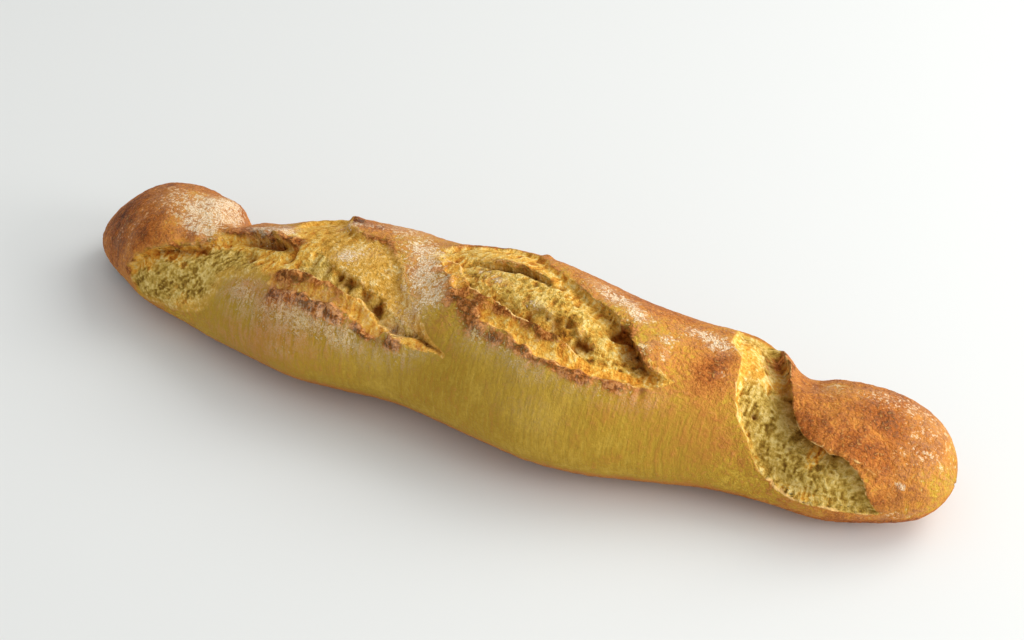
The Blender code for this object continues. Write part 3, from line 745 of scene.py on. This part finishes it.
def make_loaf():
    mesh = bpy.data.meshes.new("baked_loaf")
    loaf = bpy.data.objects.new("baked_loaf", mesh)
    bpy.context.scene.collection.objects.link(loaf)
    ball = bmesh.new()
    bmesh.ops.create_uvsphere(ball, u_segments=AROUND, v_segments=ALONG, radius=1.0)
    directions = np.array([(-v.co.z, v.co.y, v.co.x) for v in ball.verts])
    places, fields = shape_loaf(directions)
    low, high = (np.array(corner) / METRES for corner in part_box("loaf"))
    places = fit_in(places, low, high)
    for vertex, place in zip(ball.verts, places * METRES):
        vertex.co = place
    bmesh.ops.triangulate(ball, faces=ball.faces, quad_method="SHORT_EDGE")
    ball.to_mesh(mesh)
    ball.free()
    for name, values in fields.items():
        kind, key = ("FLOAT_VECTOR", "vector") if values.ndim == 2 else ("FLOAT", "value")
        attribute = mesh.attributes.new(name, kind, "POINT")
        attribute.data.foreach_set(key, np.ascontiguousarray(values, np.float32).ravel())
    mesh.shade_smooth()
    return loaf


def from_screen(*screen):
    """Linear values for a shader from red, green and blue screen values up to 255."""
    linear = [c / 255 / 12.92 if c <= 10 else ((c / 255 + 0.055) / 1.055) ** 2.4 for c in screen]
    return (*linear, 1.0)


# Stops of colour ramps: a share of the way, and the screen colour there.
CRUST_STOPS = ((0.0, 226, 188, 80), (0.25, 194, 154, 50), (0.5, 206, 134, 58), (0.75, 176, 98, 38),
               (1.0, 98, 46, 12))
CRUMB_STOPS = ((0.0, 112, 78, 24), (0.35, 160, 124, 46), (0.65, 204, 168, 78), (1.0, 238, 210, 130))
SKIN_STOPS = ((0.0, 132, 88, 26), (0.4, 198, 144, 50), (0.7, 222, 172, 78), (1.0, 250, 230, 172))
GOLD_STOPS = ((0.0, 150, 78, 18), (0.4, 222, 146, 46), (0.7, 246, 192, 80), (1.0, 255, 232, 156))
SCORCH_STOPS = ((0.32, 84, 34, 12), (0.5, 154, 78, 30), (0.68, 208, 136, 72))
FLOUR_STOPS = ((0.38, 218, 168, 108), (0.6, 255, 240, 210))
# the colour of the painted highlight along lip edges
HIGHLIGHT_COLOUR = from_screen(252, 206, 128)
FLECK_COLOUR = from_screen(236, 174, 92)
# the colour that painted shade multiplies into gaps, pits, pockets and cracks
GAP_SHADE_COLOUR = from_screen(166, 118, 70)

FIELD_NAMES = "ground crumb wall golden deep toast bright side flour bake".split()
# Noise in the bread: features in a metre, detail, roughness and distortion.
GRAINS = {
    "blotch": (90, 4, 0.6, 0), "patch": (330, 3, 0.6, 0), "speckle": (820, 2, 0.5, 0),
    "fine": (1800, 2, 0.6, 0), "squiggle": (340, 2, 0.55, 2),
}
LEAN = 4  # degrees by which streaks and webs lean
STREAK_SCALE, WEB_SCALE = (0.7, 0.12, 1.0), (0.8, 0.45, 1.0)  # features in a millimetre of the crust
WEB_DRIFT, WEB_WIDTH = 0.9, 0.4  # in cells of the web
SCORCH_COVER = 0.88
DUST_EDGE = (-0.37, -0.31)  # where flour starts, and where it is thick
BUMP_HEIGHT = 0.0022  # metres
SPECULAR = 0.1


class Nodes:
    """The nodes of a material or the world. Calls that add nodes return the last one's output."""

    def __init__(self, owner, shader="Principled BSDF"):
        owner.use_nodes = True
        self.tree = owner.node_tree
        self.shader = self.tree.nodes[shader]

    def add(self, kind, inputs, output=0, **settings):
        made = self.tree.nodes.new(kind)
        for key, value in settings.items():
            setattr(made, key, value)
        self.fill(made, inputs)
        return made.outputs[output]

    def fill(self, node, inputs):
        for key, value in inputs.items():
            if isinstance(value, bpy.types.NodeSocket):
                self.tree.links.new(value, node.inputs[key])
            else:
                node.inputs[key].default_value = value

    def field(self, name, output="Fac"):
        return self.add("ShaderNodeAttribute", {}, output, attribute_name=name)

    def math(self, operation, a, b, clamp=False):
        return self.add("ShaderNodeMath", {0: a, 1: b}, operation=operation, use_clamp=clamp)

    def times(self, *values):
        """The product of values."""
        product = values[0]
        for value in values[1:]:
            product = self.math("MULTIPLY", product, value)
        return product

    def add_up(self, *weighted):
        """The sum of (value, weight) pairs."""
        total = self.times(*weighted[0])
        for value, weight in weighted[1:]:
            total = self.math("ADD", total, self.times(value, weight))
        return total

    def vary(self, value, *noises):
        """The value moved up and down by noises whose middle is 0.5, each given with how far it moves it."""
        for grain, amount in noises:
            value = self.math("ADD", value, self.times(self.math("SUBTRACT", grain, 0.5), amount))
        return value

    def mix(self, share, a, b, blend="MIX"):
        return self.add("ShaderNodeMix", {0: share, 6: a, 7: b}, 2, data_type="RGBA", blend_type=blend)

    def mix_value(self, share, a, b):
        return self.add("ShaderNodeMix", {0: share, 2: a, 3: b}, data_type="FLOAT")

    def step(self, value, low, high):
        inputs = {"Value": value, "From Min": low, "From Max": high}
        return self.add("ShaderNodeMapRange", inputs, interpolation_type="SMOOTHSTEP")

    def stretch(self, vector, angle, scale):
        inputs = {"Vector": vector, "Rotation": (0.0, 0.0, math.radians(angle)), "Scale": scale}
        return self.add("ShaderNodeMapping", inputs)

    def grain(self, vector, scale, detail, roughness, distortion):
        inputs = {"Vector": vector, "Scale": scale, "Detail": detail, "Roughness": roughness,
                  "Distortion": distortion}
        return self.add("ShaderNodeTexNoise", inputs)

    def web(self, vector):
        """1 on the walls between cells moved about by noise, down to 0 inside them."""
        drift = self.add("ShaderNodeTexNoise", {"Vector": vector, "Scale": 1.0, "Detail": 1.0}, "Color")
        inputs = {0: drift, 1: (WEB_DRIFT, WEB_DRIFT, WEB_DRIFT), 2: vector}
        inputs = {"Vector": self.add("ShaderNodeVectorMath", inputs, operation="MULTIPLY_ADD"), "Scale": 1.0}
        distance = self.add("ShaderNodeTexVoronoi", inputs, "Distance", feature="DISTANCE_TO_EDGE")
        return self.math("SUBTRACT", 1.0, self.step(distance, 0.0, WEB_WIDTH))

    def ramp(self, value, stops):
        """Colours at shares of the way from 0 to 1."""
        made = self.tree.nodes.new("ShaderNodeValToRGB")
        ramp = made.color_ramp
        while len(ramp.elements) < len(stops):
            ramp.elements.new(0.5)
        for element, (share, *colour) in zip(ramp.elements, stops):
            element.position = share
            element.color = from_screen(*colour)
        self.fill(made, {0: value})
        return made.outputs[0]


# The functions of the bread take its nodes n, the mesh's fields f and the noises g.

def crust_colour(n, f, g):
    """Baked skin, which on the sides has less grain and more streaks, and is darker there by painted shade.
    """
    grit = n.vary(0.0, (g.blotch, 0.7), (g.patch, 0.5), (g.speckle, 0.5), (g.fine, 0.35), (g.squiggle, 0.35))
    tone = n.math("ADD", f.bake, n.times(grit, f.calm))
    tone = n.vary(tone, (g.streak, n.times(f.side, 0.4)))
    # brightness: random mottling, and painted shade that darkens the sides
    shade = n.vary(0.0, (g.speckle, -0.5), (g.fine, -0.5), (g.blotch, -0.5), (g.patch, -0.5))
    shade = n.add_up((shade, f.calm), (f.side, -0.2))
    inputs = {"Color": n.ramp(tone, CRUST_STOPS), "Value": n.math("ADD", shade, 1.0)}
    colour = n.add("ShaderNodeHueSaturation", inputs)
    fleck = n.step(n.add_up((g.squiggle, 0.5), (g.speckle, 0.5)), 0.56, 0.64)
    return n.mix(n.times(fleck, 0.45, f.calm), colour, FLECK_COLOUR)


def torn_colour(n, f, g):
    """Torn ground: closed skin, crumb where it lies open, and gold where it tore last, painted lighter on
    cell walls and darker in cell hollows and pores as painted shade.
    """
    tone = n.vary(f.wall, (g.speckle, 0.85), (g.fine, 0.45), (g.patch, 0.6), (g.web, n.times(f.crumb, 0.16)))
    tone = n.math("SUBTRACT", tone, 0.08)
    skin, crumb, gold = (n.ramp(tone, stops) for stops in (SKIN_STOPS, CRUMB_STOPS, GOLD_STOPS))
    opened = n.step(n.vary(f.crumb, (g.patch, 0.4)), 0.15, 0.5)
    gilded = n.step(n.vary(f.golden, (g.patch, 1.1)), 0.25, 0.8)
    return n.mix(gilded, n.mix(opened, skin, crumb), gold)


def edge_colour(n, f, g, colour):
    """The colour with its scorched edges, a painted highlight along the edges, and painted shade in its
    gaps.
    """
    scorch = n.ramp(n.vary(g.patch, (g.speckle, 0.6), (g.squiggle, 0.9)), SCORCH_STOPS)
    colour = n.mix(n.times(f.scorch, SCORCH_COVER), colour, scorch)
    colour = n.mix(n.step(n.vary(f.bright, (g.speckle, 0.8)), 0.2, 0.7), colour, HIGHLIGHT_COLOUR)
    return n.mix(n.step(f.deep, 0.1, 1.0), colour, GAP_SHADE_COLOUR, "MULTIPLY")


def flour_cover(n, f, g):
    """Where grains of flour lie, and how far they and the thin film between them hide the crust."""
    dust = n.add_up((g.squiggle, 0.35), (g.speckle, 0.35), (g.patch, 0.3))
    dust = n.step(n.math("SUBTRACT", n.times(f.flour, 0.2), dust), *DUST_EDGE)
    most = n.math("ADD", n.times(f.flour, 0.5), 0.38)
    thick = n.math("MINIMUM", n.times(f.flour, 2.0), most)
    bare = n.math("SUBTRACT", 1.0, n.add_up((f.side, 0.45), (f.scorch, 0.5)), clamp=True)
    on_top = n.step(g.patch, 0.42, 0.6)
    on_sides = n.step(n.add_up((g.streak, 0.6), (g.patch, 0.4)), 0.42, 0.56)
    film = n.times(f.flour, n.vary(0.35, (f.side, 0.26)), n.mix_value(f.side, on_top, on_sides))
    return dust, n.math("MAXIMUM", n.times(dust, thick, bare), film)


def bread_bump(n, f, g, dust):
    """Relief that is too fine for the mesh."""
    grit = n.add_up((g.patch, 0.4), (g.speckle, 0.5), (g.fine, 0.25), (g.squiggle, 0.2))
    height = n.add_up((grit, f.calm), (n.times(g.streak, f.side), 0.25), (dust, 0.12),
                      (n.times(g.web, f.crumb), 0.07))
    return n.add("ShaderNodeBump", {"Strength": 1.0, "Distance": BUMP_HEIGHT, "Height": height})


def bread_material():
    bread = bpy.data.materials.new("bread")
    n = Nodes(bread)
    solid = n.add("ShaderNodeTexCoord", {}, "Object")
    place = n.field("place", "Vector")
    f = SimpleNamespace(**{name: n.field(name) for name in FIELD_NAMES})
    g = SimpleNamespace(**{name: n.grain(solid, *sizes) for name, sizes in GRAINS.items()})
    g.streak = n.grain(n.stretch(place, LEAN, STREAK_SCALE), 1.0, 3.0, 0.6, 0.0)
    g.web = n.web(n.stretch(place, LEAN, WEB_SCALE))
    f.calm = n.math("SUBTRACT", 1.0, n.times(f.side, 0.75))
    f.scorch = n.step(n.vary(f.toast, (g.speckle, 0.4), (g.squiggle, 1.0), (g.patch, 0.8)), 0.15, 0.8)

    torn = n.step(n.vary(f.ground, (g.patch, 0.35)), 0.3, 0.6)
    colour = edge_colour(n, f, g, n.mix(torn, crust_colour(n, f, g), torn_colour(n, f, g)))
    dust, cover = flour_cover(n, f, g)
    colour = n.mix(cover, colour, n.ramp(g.fine, FLOUR_STOPS))
    roughness = n.add_up((f.ground, 0.2), (g.speckle, 0.3), (dust, 0.3))
    n.fill(n.shader, {"Base Color": colour, "Roughness": n.math("ADD", roughness, 0.4),
                      "Specular IOR Level": SPECULAR, "Normal": bread_bump(n, f, g, dust)})
    return bread


FLOOR_SIZE = 12.0  # metres
FLOOR_COLOUR = (0.765, 0.782, 0.77, 1.0)


def make_floor():
    bpy.ops.mesh.primitive_plane_add(size=FLOOR_SIZE, location=(0.0, 0.0, 0.0))
    floor = bpy.context.object
    floor.name = "floor"
    paint = bpy.data.materials.new("floor_paint")
    n = Nodes(paint)
    n.fill(n.shader, {"Base Color": FLOOR_COLOUR, "Roughness": 0.9, "Specular IOR Level": SPECULAR})
    floor.data.materials.append(paint)


# The camera and lights stand round this point, at angles in degrees and distances in metres.
AIM = (0.0104, 0.0117, 0.03)
CAMERA_AZIMUTH, CAMERA_ELEVATION, CAMERA_DISTANCE = 25.87, 38.0, 0.6359
CAMERA_LENS, CAMERA_SENSOR = 60.0, 36.0

# name, azimuth, elevation, distance, side of the square, watts, colour
LIGHTS = (
    ("key", 138.0, 42.0, 1.3, 0.9, 8.2, (1.0, 0.99, 0.97)),
    ("side", 92.0, 18.0, 1.2, 0.6, 8.0, (1.0, 0.98, 0.97)),
)
SKY_LEFT, SKY_RIGHT = 0.34, 1.05  # how bright the surroundings are on the two sides


def stand(name, data, azimuth, elevation, distance):
    """Add a camera or light that looks at the aim. Azimuth 0 is before the loaf, 90 at its right end."""
    a, e = math.radians(azimuth), math.radians(elevation)
    way = (math.sin(a) * math.cos(e), -math.cos(a) * math.cos(e), math.sin(e))
    thing = bpy.data.objects.new(name, data)
    bpy.context.scene.collection.objects.link(thing)
    place = Vector([c + distance * w for c, w in zip(AIM, way)])
    thing.location = place
    thing.rotation_euler = (Vector(AIM) - place).to_track_quat("-Z", "Y").to_euler()
    return thing


def make_camera():
    lens = bpy.data.cameras.new("camera")
    lens.lens = CAMERA_LENS
    lens.sensor_width = CAMERA_SENSOR
    lens.clip_start = 0.01
    camera = stand("camera", lens, CAMERA_AZIMUTH, CAMERA_ELEVATION, CAMERA_DISTANCE)
    bpy.context.scene.camera = camera


def make_lights():
    for name, azimuth, elevation, distance, side, watts, colour in LIGHTS:
        lamp = bpy.data.lights.new(name, "AREA")
        lamp.size = side
        lamp.energy = watts
        lamp.color = colour
        stand(name, lamp, azimuth, elevation, distance)


def make_sky():
    """White surroundings, brighter on the right."""
    world = bpy.data.worlds.new("studio")
    n = Nodes(world, "Background")
    across = n.add("ShaderNodeSeparateXYZ", {"Vector": n.add("ShaderNodeTexCoord", {}, "Generated")}, "X")
    strength = n.add("ShaderNodeMapRange", {"Value": across, "From Min": -1.0, "From Max": 1.0,
                                            "To Min": SKY_LEFT, "To Max": SKY_RIGHT})
    n.fill(n.shader, {"Strength": strength, "Color": (1.0, 1.0, 1.0, 1.0)})
    bpy.context.scene.world = world


make_camera()
make_lights()
make_sky()
make_floor()
loaf = make_loaf()
loaf.data.materials.append(bread_material())
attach(loaf, "root")
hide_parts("loaf")
bpy.context.scene.view_settings.view_transform = "Standard"
